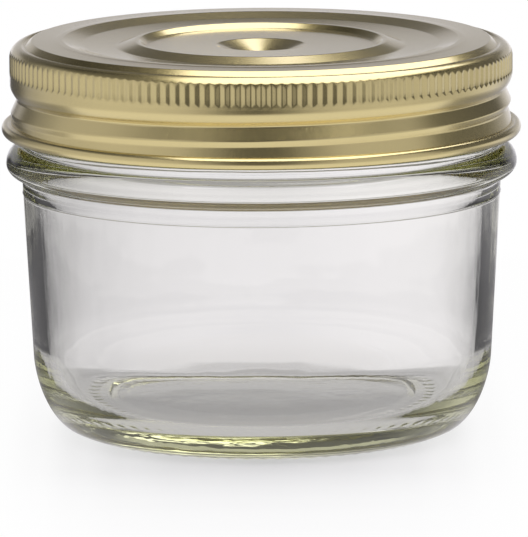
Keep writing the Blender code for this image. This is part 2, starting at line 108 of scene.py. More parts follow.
# painted reflection levels of the table near the jar, lighter ahead of it than behind it
PAINTED_REFLECTION_NEAR_TABLE = ((0.0, 0.9), (0.45, 0.9), (0.6, 0.3), (1.0, 0.3))
RING_EDGE = (0.15, 0.17)
MIRRORED_EDGE = (0.02, 0.03)


def length(name, description, millimetres):
    """A length setting, given in millimetres."""
    return FloatProperty(name=name, description=description, default=millimetres * MM,
                         unit="LENGTH", subtype="DISTANCE", precision=5)


def amount(name, description, value):
    """A plain number setting."""
    return FloatProperty(name=name, description=description, default=value)


def count(name, description, value):
    """A whole number setting."""
    return IntProperty(name=name, description=description, default=value, min=1)


def colour(name, description, value):
    """A colour setting."""
    return FloatVectorProperty(name=name, description=description, default=value,
                               subtype="COLOR", size=3, min=0.0, max=1.0)


# Settings

class JarGlassSettings(bpy.types.PropertyGroup):
    """Sizes of the glass jar."""
    height: length("Height", "From the table to the rim", 82.6)
    body_radius: length("Body radius", "Outer radius of the wall under the bead", 51.64)
    body_taper: length("Body taper", "How much the wall narrows down to the heel", 2.2)
    wall: length("Wall", "Thickness of the wall", 3.4)
    heel_height: length("Heel height", "Where the rounded heel begins", 16.8)
    heel_inset: length("Heel inset", "From the foot of the wall in to the bearing ring", 11.8)
    heel_wall_handle: length("Heel upper curve", "Reach of the heel's curve at the wall", 5.65)
    heel_base_handle: length("Heel lower curve", "Reach of the heel's curve at the base", 8.05)
    bearing_width: length("Bearing width", "Width of the ring that the jar stands on", 2.0)
    push_up: length("Push-up", "Rise of the base over the table", 1.7)
    floor_thickness: length("Floor thickness", "Glass over the push-up", 5.1)
    floor_fillet: length("Floor fillet", "Width of the inner floor's curve to the wall", 8.0)
    fillet_rise: length("Fillet rise", "Height of the inner floor's curve to the wall", 14.0)
    bead_proud: length("Bead proud", "How far the round bead stands out", 3.4)
    bead_top: length("Bead top", "Height of the ledge over the bead", 62.3)
    bead_height: length("Bead height", "Height of the round bead", 6.3)
    bead_crown: length("Bead crown", "From the ledge down to the widest line of the bead", 3.6)
    bead_ledge: length("Bead ledge", "Width of the ledge over the bead", 0.6)
    seam_drop: length("Seam drop", "From the bead down to the thin mould line", 3.7)
    seam_proud: length("Seam proud", "How far the mould line stands out", 0.16)
    seam_width: length("Seam width", "Width of the mould line", 0.5)
    neck_radius: length("Neck radius", "Outer radius of the threaded neck", 51.6)
    neck_wall: length("Neck wall", "Thickness of the neck", 5.2)
    rim_inner_round: length("Rim inner round", "Rounding inside the rim", 0.5)
    rim_outer_round: length("Rim outer round", "Rounding outside the rim", 1.4)
    rim_flat: length("Rim flat", "Width of the sealing face", 1.4)
    mouth_foot: length("Mouth foot", "Height where the wall begins to thicken to the neck", 63.5)
    mouth_blend: length("Mouth blend", "Height over which the wall thickens to the neck", 8.0)
    thread_pitch: length("Thread pitch", "Rise of the thread in a turn", 25.4 / 6.0)
    thread_height: length("Thread height", "Height of the thread at the front", 75.8167)
    thread_proud: length("Thread proud", "How far the thread stands out", 1.4)
    thread_half_width: length("Thread half width", "Half the thread's width at its foot", 1.35)
    thread_start: amount("Thread start", "Where the thread begins, in degrees", -400.0)
    thread_end: amount("Thread end", "Where the thread ends, in degrees", 150.0)
    thread_fade: amount("Thread fade", "How long its ends taper, in degrees", 35.0)
    stipple_count: count("Stipples", "Short bars round the bearing ring", 70)
    stipple_height: length("Stipple height", "How far the bars stand down", 0.28)
    stipple_length: length("Stipple length", "Length of a bar along the radius", 3.4)
    ripple: length("Ripple", "Unevenness of the inner face", 0.10)
    ripple_size: length("Ripple size", "Width of the waves in the inner face", 16.0)
    sides: count("Sides", "Facets round the neck and the inner face", 280)


class CapSettings(bpy.types.PropertyGroup):
    """Sizes of the screw cap."""
    top: length("Top", "Height of the flat annulus over the table", 85.15)
    radius: length("Radius", "Outer radius of the knurled band", 54.15)
    skirt_radius: length("Skirt radius", "Outer radius of the skirt under the knurl", 54.1)
    sheet: length("Sheet", "Thickness of the tinplate", 0.3)
    curl_middle: length("Curl middle", "Height of the middle of the curled edge", 66.2)
    curl_reach: length("Curl reach", "Width of the curled edge", 2.15)
    curl_height: length("Curl height", "Height of the curled edge", 2.6)
    curl_neck: length("Curl neck", "From the middle of the curl up to the skirt", 0.9)
    groove_depth: length("Groove depth", "Depth of the rolled-in thread", 1.5)
    groove_above: length("Groove above", "Height of the groove's upper flank", 3.2)
    groove_below: length("Groove below", "Height of the groove's lower flank", 3.3)
    groove_height: length("Groove height", "Height of the groove at the front", 73.7)
    groove_start: amount("Groove start", "Where the groove begins, in degrees", -700.0)
    groove_end: amount("Groove end", "Where the groove ends, in degrees", 75.0)
    groove_fade_in: amount("Groove fade in", "How long its lower end tapers, in degrees", 560.0)
    groove_fade_out: amount("Groove fade out", "How long its upper end tapers, in degrees", 60.0)
    thread_pitch: length("Thread pitch", "Rise of the groove in a turn", 25.4 / 6.0)
    flute_count: count("Flutes", "Number of flutes in the knurl", 156)
    flute_depth: length("Flute depth", "Depth of a flute", 0.33)
    flute_bottom: length("Flute bottom", "Height of the pointed lower ends", 77.9)
    flute_tip: length("Flute tip", "Length of the pointed lower ends", 0.9)
    annulus_inner: length("Annulus inner", "Inner radius of the flat annulus", 45.0)
    annulus_outer: length("Annulus outer", "Outer radius of the flat annulus", 49.4)
    roll_radius: length("Roll radius", "Radius of the crest of the outer roll", 51.6)
    roll_drop: length("Roll drop", "From the annulus down to the outer roll's crest", 0.85)
    roll_reach: length("Roll reach", "Height of the outer roll's curve", 2.6)
    band_drop: length("Band drop", "How deep the band between the rings lies", 1.35)
    panel_radius: length("Panel radius", "Radius of the sunk panel", 24.8)
    panel_drop: length("Panel drop", "How deep the panel is sunk in its ring", 1.1)
    dimple_depth: length("Dimple depth", "Depth of the middle dimple", 2.5)
    dimple_radius: length("Dimple radius", "Radius of the middle dimple", 9.6)
    sides: count("Sides", "Facets round the plain parts", 312)
    facets_a_flute: count("Flute facets", "Facets across a flute", 8)


class SealSettings(bpy.types.PropertyGroup):
    """Sizes of the sealing capsule and its compound."""
    capsule_radius: length("Capsule radius", "Outer radius of the capsule", 49.2)
    capsule_top: length("Capsule top", "Height of the capsule's channel", 84.4)
    panel_top: length("Panel top", "Height of the capsule's sunk panel", 80.9)
    sink_radius: length("Sink radius", "Outer radius of the sunk panel's wall", 44.6)
    sheet: length("Sheet", "Thickness of the tinplate", 0.3)
    lip: length("Lip", "Depth of the capsule's edge", 0.8)
    compound_middle: length("Compound middle", "Radius of the middle of the compound", 47.6)
    compound_width: length("Compound width", "Width of the compound", 2.0)
    compound_bottom: length("Compound bottom", "Height of the compound's underside", 82.9)
    compound_thickness: length("Compound thickness", "Thickness of the compound", 0.9)
    sides: count("Sides", "Facets round both pieces", 256)


class FinishSettings(bpy.types.PropertyGroup):
    """Colours and gloss of the finishes."""
    gold: colour("Gold lacquer", "Lacquer of the cap", (0.76, 0.64, 0.285))
    gold_roughness: amount("Gold roughness", "Roughness of the lacquered sheet", 0.24)
    glass: colour("Glass", "Colour of the glass face", (1.0, 1.0, 1.0))
    glass_depth: colour("Glass in depth", "What thick glass lets through", (0.75, 0.765, 0.32))
    glass_density: amount("Glass density", "How much light thick glass takes, a metre", 14.0)
    glass_index: amount("Glass index", "Refractive index of the glass", 1.52)
    capsule: colour("Capsule lacquer", "Lacquer of the sealing capsule", (0.72, 0.60, 0.30))
    capsule_roughness: amount("Capsule roughness", "Roughness of the capsule's lacquer", 0.28)
    compound: colour("Compound", "Sealing compound", (0.52, 0.49, 0.45))
    table: colour("Table", "The pale table top", (0.78, 0.78, 0.78))


class StudioSettings(bpy.types.PropertyGroup):
    """Camera and light."""
    elevation: amount("Elevation", "Camera over the horizon, in degrees", 9.237)
    distance: length("Distance", "From the camera to the jar", 2200.0)
    aim_x: length("Aim sideways", "Where the camera looks, sideways", 0.42)
    aim_z: length("Aim height", "Where the camera looks, height", 35.06)
    roll: amount("Roll", "Camera roll, in degrees", -0.30)
    focal: length("Focal length", "Focal length on a 36 mm sensor", 683.0)
    table_radius: length("Table radius", "Radius of the table top", 1500.0)
    key: amount("Key light", "Radiance of the soft box overhead", 2.2)


class CanningJarSettings(bpy.types.PropertyGroup):
    """All settings."""
    glass: PointerProperty(type=JarGlassSettings)
    cap: PointerProperty(type=CapSettings)
    seal: PointerProperty(type=SealSettings)
    finish: PointerProperty(type=FinishSettings)
    studio: PointerProperty(type=StudioSettings)


# Sections and lathe work

def arc(middle, reach, start, end, steps):
    """Points (radius, height) along a round or oval arc, angles in degrees."""
    points = []
    for step in range(steps + 1):
        angle = math.radians(start + (end - start) * step / steps)
        points.append((middle[0] + reach[0] * math.cos(angle),
                       middle[1] + reach[1] * math.sin(angle)))
    return points


def rounded(corners, steps=5):
    """A section from corners (radius, height, rounding), with each corner rounded."""
    points = []
    for index, (radius, height, rounding) in enumerate(corners):
        here = Vector((radius, height))
        if rounding <= 0.0 or index in (0, len(corners) - 1):
            points.append((radius, height))
            continue
        back = Vector(corners[index - 1][:2]) - here
        ahead = Vector(corners[index + 1][:2]) - here
        half_turn = back.angle(ahead) / 2
        setback = min(rounding / math.tan(half_turn), back.length * 0.49, ahead.length * 0.49)
        first = here + back.normalized() * setback
        last = here + ahead.normalized() * setback
        for step in range(steps + 1):
            share = step / steps
            point = first.lerp(here, share).lerp(here.lerp(last, share), share)
            points.append((point.x, point.y))
    return points


def even_steps(start, end, steps):
    """Points from start to end, both included."""
    return [(start[0] + (end[0] - start[0]) * step / steps,
             start[1] + (end[1] - start[1]) * step / steps) for step in range(steps + 1)]


def ring_faces(upper, lower):
    """Faces between two rings, which may be single points or differ in their counts."""
    if len(upper) == 1 or len(lower) == 1:
        tip, ring = (upper[0], lower) if len(upper) == 1 else (lower[0], upper)
        return [(tip, ring[i], ring[(i + 1) % len(ring)]) for i in range(len(ring))]
    if len(upper) == len(lower):
        size = len(upper)
        return [(upper[i], upper[(i + 1) % size], lower[(i + 1) % size], lower[i])
                for i in range(size)]
    faces = []
    up = low = 0
    while up < len(upper) or low < len(lower):
        here_up = upper[up % len(upper)]
        here_low = lower[low % len(lower)]
        if (up + 1) / len(upper) <= (low + 1) / len(lower):
            faces.append((here_up, here_low, upper[(up + 1) % len(upper)]))
            up += 1
        else:
            faces.append((here_up, here_low, lower[(low + 1) % len(lower)]))
            low += 1
    return faces


def lathe(name, rings, closed=False):
    """A closed mesh object turned round +Z from rings (radius, height, sides, mask)."""
    points, marks, loops, faces = [], [], [], []
    for radius, height, sides, mark in rings:
        first = len(points)
        if radius < TINY:
            points.append((0.0, 0.0, height))
        else:
            for side in range(sides):
                angle = 2 * math.pi * side / sides
                points.append((radius * math.sin(angle), -radius * math.cos(angle), height))
        loops.append(range(first, len(points)))
        marks += [mark] * (len(points) - first)
    pairs = list(zip(loops, loops[1:]))
    if closed:
        pairs.append((loops[-1], loops[0]))
    for upper, lower in pairs:
        faces += ring_faces(upper, lower)
    mesh = bpy.data.meshes.new(name)
    mesh.from_pydata(points, [], faces)
    shape = bmesh.new()
    shape.from_mesh(mesh)
    bmesh.ops.recalc_face_normals(shape, faces=shape.faces)
    shape.to_mesh(mesh)
    shape.free()
    mask = mesh.attributes.new("form", "FLOAT", "POINT")
    mask.data.foreach_set("value", marks)
    mesh.shade_smooth()
    made = bpy.data.objects.new(name, mesh)
    bpy.context.scene.collection.objects.link(made)
    return made


def drop_repeats(points):
    """The section without points that lie on their neighbour."""
    kept = [points[0]]
    for point in points[1:]:
        if math.dist(point, kept[-1]) > SAME_PLACE:
            kept.append(point)
    return kept


def sorted_up(points):
    """Drops the points of a section that would go back down."""
    kept = [points[0]]
    for point in points[1:]:
        if math.dist(point, kept[-1]) > FINEST_STEP and (
                point[1] > kept[-1][1] + TINY or point[0] > kept[-1][0] + TINY):
            kept.append(point)
    return kept


def marked(*runs):
    """Rings from runs of (points, sides, mark)."""
    return [(*point, sides, mark) for points, sides, mark in runs for point in points]


# Node trees that press, thread and ripple a lathed blank

def fill(node, inputs):
    """Sets or links a node's inputs, by name or number."""
    for name, value in inputs.items():
        if isinstance(value, Wire):
            node.id_data.links.new(value.socket, node.inputs[name])
        else:
            node.inputs[name].default_value = value
    return node


def added(tree, kind, inputs, output=0):
    """What comes out of a new node, whose inputs are set or linked."""
    return Wire(fill(tree.nodes.new(kind), inputs).outputs[output])


class Wire:
    """What comes out of a node. Arithmetic on it adds math nodes to its tree."""

    def __init__(self, socket):
        self.socket = socket

    def math(self, operation, *others, clamp=False):
        """A math node that takes this first."""
        node = self.socket.id_data.nodes.new("ShaderNodeMath")
        node.operation = operation
        node.use_clamp = clamp
        return Wire(fill(node, dict(enumerate((self, *others)))).outputs[0])

    def __add__(self, other):
        return self.math("ADD", other)

    def __sub__(self, other):
        return self.math("SUBTRACT", other)

    def __rsub__(self, other):
        return self.math("MULTIPLY_ADD", -1.0, other)

    def __mul__(self, other):
        return self.math("MULTIPLY", other)

    def __truediv__(self, other):
        return self.math("DIVIDE", other)

    def top(self, other):
        """The larger of two."""
        return self.math("MAXIMUM", other)

    def held(self):
        """Held between 0 and 1."""
        return self.math("ADD", 0.0, clamp=True)

    def smooth(self):
        """Held between 0 and 1, and eased."""
        share = self.held()
        return share * share * (3.0 - share * 2.0)

    def rise(self, start, width):
        """Eases from 0 to 1 while this runs over a width from its start."""
        return ((self - start) / width).smooth()

    def between(self, low, high):
        """Low where this is 0, high where it is 1."""
        return self * high + (1.0 - self) * low

    def parts(self):
        """The x, y and z of a place, and its distance from the jar's axis."""
        node = fill(self.socket.id_data.nodes.new("ShaderNodeSeparateXYZ"), {0: self})
        x, y, z = [Wire(socket) for socket in node.outputs]
        return x, y, z, (x * x + y * y).math("SQRT")


def new_form_tree(name, labels):
    """A Geometry Nodes tree with a mesh in and out, a material and named number inputs."""
    tree = bpy.data.node_groups.new(name, "GeometryNodeTree")
    numbers = [(label, "INPUT", "Float") for label in labels]
    for label, side, kind in (("Geometry", "INPUT", "Geometry"), *numbers,
                              ("Material", "INPUT", "Material"),
                              ("Geometry", "OUTPUT", "Geometry")):
        tree.interface.new_socket(label, in_out=side, socket_type="NodeSocket" + kind)
    sockets = tree.nodes.new("NodeGroupInput").outputs
    return tree, {socket.name: Wire(socket) for socket in sockets}


def place_of_points(tree):
    """A point's place, radius, angle in degrees and height, and its x and y shares."""
    place = added(tree, "GeometryNodeInputPosition", {})
    x, y, z, radius = place.parts()
    safe = radius.top(TINY)
    angle = y.math("ARCTAN2", x).math("DEGREES")
    return place, radius, angle, z, (x / safe, y / safe)


def form_mark(tree, value):
    """1 on points whose mark is the value, else 0."""
    mark = tree.nodes.new("GeometryNodeInputNamedAttribute")
    mark.data_type = "FLOAT"
    mark.inputs["Name"].default_value = "form"
    return Wire(mark.outputs["Attribute"]).math("COMPARE", value, 0.25)


def share_of_turn(angle, number):
    """Where an angle lies, 0 to 1, in its share of a turn cut into a number of shares."""
    return (angle / TURN * number).math("FRACT")


def helix(angle, height, front_height, pitch):
    """The nearest lap of a helix: a point's height off it, and its turn in degrees."""
    front_turn = (angle - FRONT) / TURN
    lap = ((height - front_height) / pitch - front_turn).math("ROUND")
    middle = (lap + front_turn).math("MULTIPLY_ADD", pitch, front_height)
    return height - middle, lap * TURN + angle


def helix_fade(turn, start, end, fade_in, fade_out):
    """How full a helix is at a turn: 1, easing to 0 at both ends."""
    return ((turn - start) / fade_in).math("MINIMUM", (end - turn) / fade_out).smooth()


def groove_share(off, above, below):
    """How deep a groove is at a height off its deepest line: round over it, straight under it."""
    over = (off.top(0.0) / above).held() * (math.pi / 2)
    under = (off * -1.0).top(0.0) / below
    return (1.0 - (over.math("SINE") + under)).held()


def close_form_tree(tree, given, shares, outward, lift):
    """Moves the points out and up, realizes the shape and sets its material."""
    offset = added(tree, "ShaderNodeCombineXYZ",
                   {0: outward * shares[0], 1: outward * shares[1], 2: lift})
    shape = added(tree, "GeometryNodeSetPosition",
                  {"Geometry": given["Geometry"], "Offset": offset})
    shape = added(tree, "GeometryNodeRealizeInstances", {0: shape})
    shape = added(tree, "GeometryNodeSetMaterial",
                  {"Geometry": shape, "Material": given["Material"]})
    fill(tree.nodes.new("NodeGroupOutput"), {0: shape})
    return tree


def cap_press_tree(labels):
    """Presses the helical groove and cuts the flutes of the knurl into a cap blank."""
    tree, given = new_form_tree("cap_press", labels)
    _, radius, angle, z, shares = place_of_points(tree)
    off, turn = helix(angle, z, given["groove_height"], given["thread_pitch"])
    ends = [given["groove_" + end] for end in ("start", "end", "fade_in", "fade_out")]
    groove = 0.0
    for lap in (-1.0, 0.0, 1.0):
        lap_off = given["thread_pitch"].math("MULTIPLY_ADD", -lap, off)
        share = groove_share(lap_off, given["groove_above"], given["groove_below"])
        groove = (share * helix_fade(turn + TURN * lap, *ends)).top(groove)
    groove = groove * given["groove_depth"] * form_mark(tree, THREADED)

    valley = (share_of_turn(angle, given["flute_count"]) * 2.0 - 1.0).math("ABSOLUTE")
    runout = 1.0 - ((z - given["flute_bottom"]) / given["flute_tip"]).held()
    cut = (valley * given["flute_depth"] - runout * given["flute_depth"]).top(0.0)
    flute = (radius - (given["radius"] - cut)).top(0.0) * form_mark(tree, PATTERNED)
    return close_form_tree(tree, given, shares, (groove + flute) * -1.0, 0.0)


def glass_form_tree(labels):
    """Raises the glass thread, sets bars round the bearing ring and ripples the inside."""
    tree, given = new_form_tree("glass_form", labels)
    place, radius, angle, z, shares = place_of_points(tree)
    off, turn = helix(angle, z, given["thread_height"], given["thread_pitch"])
    full = helix_fade(turn, given["thread_start"], given["thread_end"], given["thread_fade"],
                      given["thread_fade"])
    across = off / given["thread_half_width"]
    hump = (1.0 - across * across).held()
    thread = hump * full * given["thread_proud"] * form_mark(tree, THREADED)

    bar = (share_of_turn(angle, given["stipple_count"]) * math.pi).math("SINE")
    along = (radius - given["stipple_radius"]) / given["stipple_length"]
    bar = bar * bar * (1.0 - along * along * 4.0).held()
    # the lift between the bars runs out over the lowest 2 mm of the heel
    low = (1.4 - z / (1.5 * MM)).smooth()
    lift = (1.0 - bar) * given["stipple_height"] * low * form_mark(tree, PATTERNED)

    noise = tree.nodes.new("ShaderNodeTexNoise")
    noise.noise_dimensions = "4D"
    fill(noise, {"Vector": place, "Scale": given["ripple_scale"], "W": RIPPLE_SEED,
                 "Detail": 2.0, "Roughness": 0.45})
    wave = (Wire(noise.outputs["Fac"]) - 0.5) * 2.0 * given["ripple"]
    wave = wave * form_mark(tree, RIPPLED)
    return close_form_tree(tree, given, shares, thread + wave, lift + wave)


def values_of(group, beginnings):
    """The settings whose names begin so, as plain numbers for a tree's inputs."""
    return {name: float(getattr(group, name)) for name in type(group).__annotations__
            if name.startswith(beginnings)}


def formed(blank, grow, values, finish):
    """Runs a new node tree on a blank, with its named inputs, and keeps the plain result."""
    tree = grow(values)
    made = blank.modifiers.new("form", "NODES")
    made.node_group = tree
    sockets = {item.name: item.identifier for item in tree.interface.items_tree
               if item.in_out == "INPUT"}
    for label, value in {**values, "Material": finish}.items():
        made[sockets[label]] = value
    bpy.context.view_layer.update()
    graph = bpy.context.evaluated_depsgraph_get()
    mesh = bpy.data.meshes.new_from_object(blank.evaluated_get(graph))
    blank.modifiers.clear()
    blank.data = mesh
    mesh.name = blank.name
    mesh.attributes.remove(mesh.attributes["form"])


# Finishes

def new_material(name):
    """A material with a Principled shader, and its tree, shader and output."""
    made = bpy.data.materials.new(name)
    made.use_nodes = True
    tree = made.node_tree
    return made, tree, tree.nodes["Principled BSDF"], tree.nodes["Material Output"]


def noise_on_place(tree, stretch, scale, detail=2.0):
    """Noise on the object's own place, stretched along x, y and z."""
    place = added(tree, "ShaderNodeTexCoord", {}, "Object")
    place = added(tree, "ShaderNodeMapping", {"Vector": place, "Scale": stretch})
    return added(tree, "ShaderNodeTexNoise",
                 {"Vector": place, "Scale": scale, "Detail": detail}, "Fac")


def ranged(tree, value, low, high):
    """A 0 to 1 value set between low and high."""
    return added(tree, "ShaderNodeMapRange", {"Value": value, "To Min": low, "To Max": high})


def bumped(tree, height, strength, distance):
    """A surface direction that follows a height."""
    return added(tree, "ShaderNodeBump",
                 {"Height": height, "Strength": strength, "Distance": distance})


def toned(tree, share, low, high):
    """A colour between low, where a share is 0, and high, where it is 1."""
    node = tree.nodes.new("ShaderNodeMix")
    node.data_type = "RGBA"
    fill(node, {"Factor": share, "A": (*low, 1.0), "B": (*high, 1.0)})
    return Wire(node.outputs["Result"])


def lit(tint, strength):
    """A colour made darker or lighter."""
    return [min(1.0, part * strength) for part in tint]


def lacquered_sheet(name, tint, roughness):
    """Tinplate under a clear gold lacquer, with the fine streaks of the rolled sheet."""
    made, tree, shader, _ = new_material(name)
    streaks = noise_on_place(tree, stretch=(1.0, 1.0, 0.035), scale=2600.0, detail=3.0)
    clouds = noise_on_place(tree, stretch=EVEN, scale=60.0)
    share = streaks * 0.6 + ranged(tree, clouds, 0.0, 0.4)
    fill(shader, {
        "Base Color": toned(tree, share, lit(tint, 0.94), lit(tint, 1.05)),
        "Roughness": ranged(tree, streaks, roughness * 0.75, roughness * 1.25),
        "Normal": bumped(tree, streaks, strength=0.25, distance=0.02 * MM),
        "Metallic": 1.0, "Coat Weight": 0.8, "Coat Roughness": 0.12, "Coat IOR": 1.7})
    return made


def clear_glass(finish):
    """Pressed soda glass: clear in the wall, olive where it is thick."""
    made, tree, shader, output = new_material("clear_glass")
    swirl = noise_on_place(tree, stretch=(2.0, 2.0, 0.5), scale=90.0)
    fill(shader, {
        "Base Color": (*finish.glass, 1.0), "Roughness": 0.0, "IOR": finish.glass_index,
        "Transmission Weight": 1.0,
        "Normal": bumped(tree, swirl, strength=0.25, distance=0.15 * MM)})
    depth = added(tree, "ShaderNodeVolumeAbsorption",
                  {"Color": (*finish.glass_depth, 1.0), "Density": finish.glass_density})
    fill(output, {"Volume": depth})
    return made


def sealing_compound(finish):
    """Soft grey compound, faintly mottled."""
    made, tree, shader, _ = new_material("sealing_compound")
    mottle = noise_on_place(tree, stretch=EVEN, scale=700.0, detail=3.0)
    fill(shader, {
        "Base Color": toned(tree, mottle, lit(finish.compound, 0.85), lit(finish.compound, 1.1)),
        "Roughness": ranged(tree, mottle, 0.45, 0.65),
        "Normal": bumped(tree, mottle, strength=0.3, distance=0.05 * MM)})
    return made


# Sections of the pieces

def glass_rings(glass):
    """The jar's rings: over the inner floor, up the inside, over the rim and down."""
    body_top = glass.bead_top - glass.bead_height

    def wall_radius(height):
        share = (height - glass.heel_height) / (body_top - glass.heel_height)
        return glass.body_radius - glass.body_taper + glass.body_taper * share

    # floor and inner wall, up to the mouth
    floor = glass.push_up + glass.floor_thickness
    inner_foot = wall_radius(floor + glass.fillet_rise) - glass.wall
    mouth = glass.neck_radius - glass.neck_wall
    inner_wall = (glass.body_radius - glass.wall, glass.mouth_foot)
    foot = (inner_foot, floor + glass.fillet_rise)
    inside = even_steps((0.0, floor + 0.2 * MM), (inner_foot - glass.floor_fillet, floor), 14)
    inside += arc((inner_foot - glass.floor_fillet, floor + glass.fillet_rise),
                  (glass.floor_fillet, glass.fillet_rise), -90.0, 0.0, 36)[1:]
    inside += even_steps(foot, inner_wall, 26)[1:]
    inside += rounded([(*foot, 0.0), (*inner_wall, 12 * MM),
                       (mouth, glass.mouth_foot + glass.mouth_blend, 12 * MM),
                       (mouth, glass.height - glass.rim_inner_round, 0.0)], 6)[1:]

    # over the rim and down the neck
    rim_edge = mouth + glass.rim_inner_round
    rim = arc((rim_edge, glass.height - glass.rim_inner_round),
              (glass.rim_inner_round, glass.rim_inner_round), 180.0, 90.0, 4)
    rim += arc((rim_edge + glass.rim_flat, glass.height - glass.rim_outer_round),
               (glass.rim_outer_round, glass.rim_outer_round), 90.0, 0.0, 6)
    shoulder = glass.height - glass.rim_outer_round - 1.2 * MM
    neck = even_steps((glass.neck_radius, shoulder),
                      (glass.neck_radius, glass.bead_top + 0.6 * MM), 48)

    # the ledge and the round bead
    ledge = glass.neck_radius + glass.bead_ledge
    bead_middle = glass.bead_top - glass.bead_crown
    bead_radius = glass.body_radius + glass.bead_proud
    bead = [(glass.neck_radius + 0.15 * MM, glass.bead_top + 0.15 * MM),
            (glass.neck_radius + 0.6 * MM, glass.bead_top)]
    bead += arc((ledge, bead_middle), (bead_radius - ledge, glass.bead_crown), 90.0, 0.0, 10)
    bead += arc((glass.body_radius, bead_middle),
                (glass.bead_proud, bead_middle - body_top), 0.0, -84.0, 10)[1:]

    # the wall with its mould line
    seam = body_top - glass.seam_drop
    wall = [(wall_radius(body_top - 0.25 * MM) + 0.12 * MM, body_top - 0.1 * MM),
            (wall_radius(body_top - 0.6 * MM), body_top - 0.6 * MM)]
    for share, proud in ((1.0, 0.0), (0.5, 0.6), (0.0, 1.0), (-0.5, 0.6), (-1.0, 0.0)):
        height = seam + share * glass.seam_width / 2
        wall.append((wall_radius(height) + proud * glass.seam_proud, height))
    wall += [(wall_radius(height), height) for _, height in
             even_steps((0.0, seam - 0.6 * MM), (0.0, glass.heel_height), 16)]

    # the heel, the ring that the jar stands on and the pushed-up base
    foot_radius = glass.body_radius - glass.body_taper
    wall_foot = Vector((foot_radius, glass.heel_height))
    down = Vector((-glass.body_taper, glass.heel_height - body_top)).normalized()
    bearing = Vector((foot_radius - glass.heel_inset, 0.0))
    heel = [(p.x, p.y) for p in interpolate_bezier(
        wall_foot, wall_foot + down * glass.heel_wall_handle,
        bearing + Vector((glass.heel_base_handle, 0.0)), bearing, 26)][1:]
    bearing_inner = bearing.x - glass.bearing_width
    base = even_steps((bearing.x, 0.0), (bearing_inner, 0.0), 4)[1:]
    base += rounded([(bearing_inner, 0.0, 0.0), (bearing_inner - 1.6 * MM, 0.25 * MM, 2 * MM),
                     (bearing_inner - 3.5 * MM, glass.push_up * 0.6, 3 * MM),
                     (bearing_inner - 9.0 * MM, glass.push_up * 0.85, 6 * MM),
                     (0.0, glass.push_up, 0.0)], 4)[1:]
    return marked((sorted_up(inside), glass.sides, RIPPLED), (rim[1:], glass.sides, PLAIN),
                  (neck, glass.sides, THREADED), (bead + wall, glass.sides, PLAIN),
                  (heel + base[:-1], glass.stipple_count * BAR_FACETS, PATTERNED),
                  (base[-1:], 1, PLAIN))


def cap_panel(cap, drop, facets):
    """The cap's pressed rings from the middle out to the annulus, lowered by a drop."""
    level = cap.top - drop
    ring = level - 0.1 * MM
    panel = ring - cap.panel_drop
    band = level - cap.band_drop
    bottom = panel - cap.dimple_depth
    crest = cap.panel_radius + 1.4 * MM
    step = cap.annulus_inner - 2.4 * MM
    return rounded([
        (0.0, bottom, 0.0), (cap.dimple_radius * 0.27, bottom, 1.6 * MM),
        (cap.dimple_radius, panel, 1.6 * MM), (cap.panel_radius, panel, 1.0 * MM),
        (crest, ring, 0.7 * MM), (crest + 1.0 * MM, ring, 1.2 * MM),
        (crest + 4.8 * MM, band, 2.5 * MM), (step - 4.2 * MM, band + 0.55 * MM, 4.0 * MM),
        (step, level + 0.15 * MM, 1.2 * MM), (step + 1.2 * MM, level + 0.12 * MM, 1.5 * MM),
        (cap.annulus_inner, level, 0.0)], facets)


def cap_rings(cap):
    """The cap's rings: over the panel, down the skirt, round the curl and up the inside."""
    fine = cap.flute_count * cap.facets_a_flute
    bottom = cap.curl_middle + cap.curl_neck
    knurl_low = cap.flute_bottom - 0.2 * MM
    roll = cap.top - cap.roll_drop
    reach = cap.radius - cap.roll_radius
    valley = cap.roll_radius - 0.6 * MM
    top = cap_panel(cap, 0.0, 5)
    top += rounded([(*top[-1], 0.0), (cap.annulus_outer, cap.top, 0.6 * MM),
                    (valley - 0.2 * MM, roll - 0.3 * MM, 0.4 * MM),
                    (valley + 0.1 * MM, roll - 0.3 * MM, 0.4 * MM),
                    (cap.roll_radius, roll, 0.0)], 6)[1:]

    # the outer roll, the knurl and the skirt with its curled edge
    shoulder = arc((cap.roll_radius, roll - cap.roll_reach), (reach, cap.roll_reach),
                   90.0, 0.0, 12)[1:]
    knurl = even_steps(shoulder[-1], (cap.radius, cap.flute_bottom + cap.flute_tip), 2)[1:]
    knurl += even_steps(knurl[-1], (cap.radius, cap.flute_bottom), 8)[1:]
    skirt = even_steps((cap.skirt_radius, knurl_low), (cap.skirt_radius, bottom), 52)
    inner = cap.skirt_radius - cap.sheet
    curl = arc((inner + cap.curl_reach / 2, cap.curl_middle),
               (cap.curl_reach / 2, cap.curl_height / 2), 118.0, -180.0, 20)

    # back up the inside
    back = even_steps((inner, bottom), (inner, knurl_low), 24)
    hollow = cap.radius - 0.7 * MM
    ceiling = [(hollow, cap.flute_bottom + 0.8 * MM)]
    ceiling += arc((cap.roll_radius, roll - cap.roll_reach),
                   (hollow - cap.roll_radius, cap.roll_reach - 0.5 * MM), 0.0, 80.0, 6)
    ceiling += [(valley + 0.1 * MM, roll - 0.6 * MM), (valley - 0.4 * MM, roll - 0.6 * MM),
                (cap.annulus_outer - 0.2 * MM, cap.top - cap.sheet)]
    ceiling += list(reversed(cap_panel(cap, cap.sheet, 2)))
    return marked((drop_repeats(top), cap.sides, PLAIN),
                  (drop_repeats(shoulder + knurl), fine, PATTERNED),
                  (skirt[1:], cap.sides, THREADED), (curl, cap.sides, PLAIN),
                  (back, cap.sides, THREADED), (drop_repeats(ceiling), cap.sides, PLAIN))


